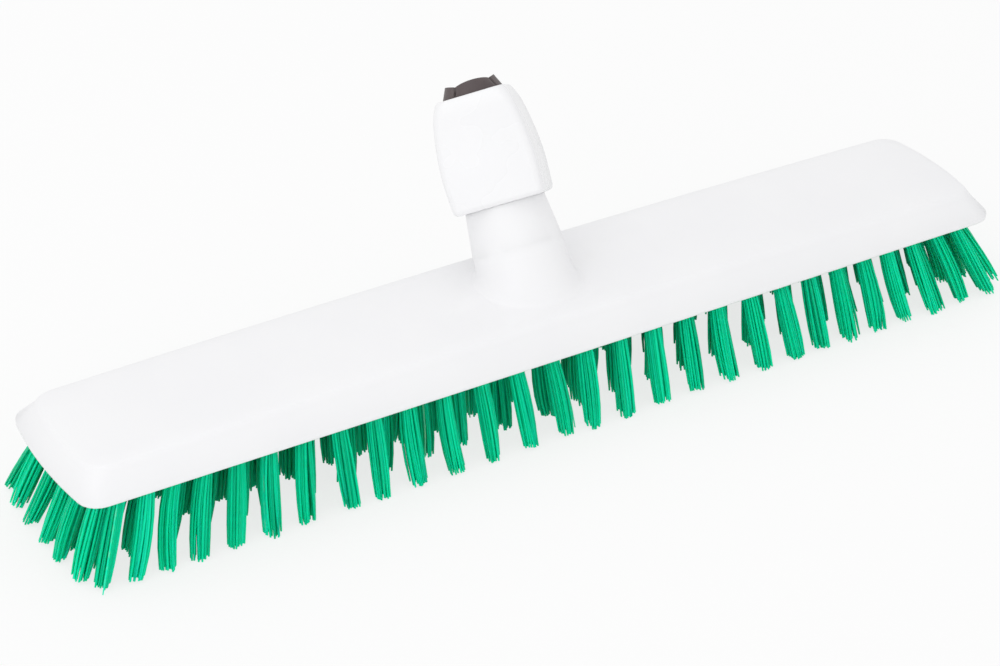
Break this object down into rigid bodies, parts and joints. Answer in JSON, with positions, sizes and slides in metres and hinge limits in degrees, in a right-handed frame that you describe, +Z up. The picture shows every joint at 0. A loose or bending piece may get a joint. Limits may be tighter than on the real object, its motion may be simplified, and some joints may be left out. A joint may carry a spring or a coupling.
{
  "type": "floor scrub brush",
  "caption": "Wide floor scrub brush head with a leaning handle socket, a screw clamp collar with a split grip sleeve, and stiff splayed tufts.",
  "frame": {"origin": "on the floor under the middle of the whole brush's outline", "axes": "+X along the bar, +Y the way the handle socket leans back, +Z up"},
  "size_m": [0.4608, 0.1084, 0.132],
  "materials": {
    "white_moulding": "satin",
    "umber_sleeve": "matte",
    "green_bristle": "satin"
  },
  "bodies": {
    "bar": {"socket_bar": "white_moulding", "handle_neck": "white_moulding", "tuft_column_01": "green_bristle", "tuft_column_02": "green_bristle", "tuft_column_03": "green_bristle", "tuft_column_04": "green_bristle", "tuft_column_05": "green_bristle", "tuft_column_06": "green_bristle", "tuft_column_07": "green_bristle", "tuft_column_08": "green_bristle", "tuft_column_09": "green_bristle", "tuft_column_10": "green_bristle", "tuft_column_11": "green_bristle", "tuft_column_12": "green_bristle", "tuft_column_13": "green_bristle", "tuft_column_14": "green_bristle", "tuft_column_15": "green_bristle", "tuft_column_16": "green_bristle", "tuft_column_17": "green_bristle", "tuft_column_18": "green_bristle", "tuft_column_19": "green_bristle", "tuft_column_20": "green_bristle", "tuft_column_21": "green_bristle", "tuft_column_22": "green_bristle", "tuft_column_23": "green_bristle", "tuft_column_24": "green_bristle", "tuft_column_25": "green_bristle", "tuft_column_26": "green_bristle", "tuft_column_27": "green_bristle", "tuft_column_28": "green_bristle"},
    "sleeve": {"grip_sleeve": "umber_sleeve"},
    "collar": {"clamp_collar": "white_moulding"}
  },
  "joints": [
    {"name": "sleeve_travel", "type": "slide", "parent": "bar", "child": "sleeve", "axis": [0, 0.549, 0.8358], "range_m": [0, 0.00605]},
    {"name": "collar_turn", "type": "hinge", "parent": "sleeve", "child": "collar", "pos_m": [0, 0.02391, 0.09975], "axis": [0, 0.549, 0.8358], "range_deg": [0, 540]}
  ],
  "couplings": [
    {"joint": "sleeve_travel", "follows": "collar_turn", "m_per_rad": 0.00063662}
  ]
}
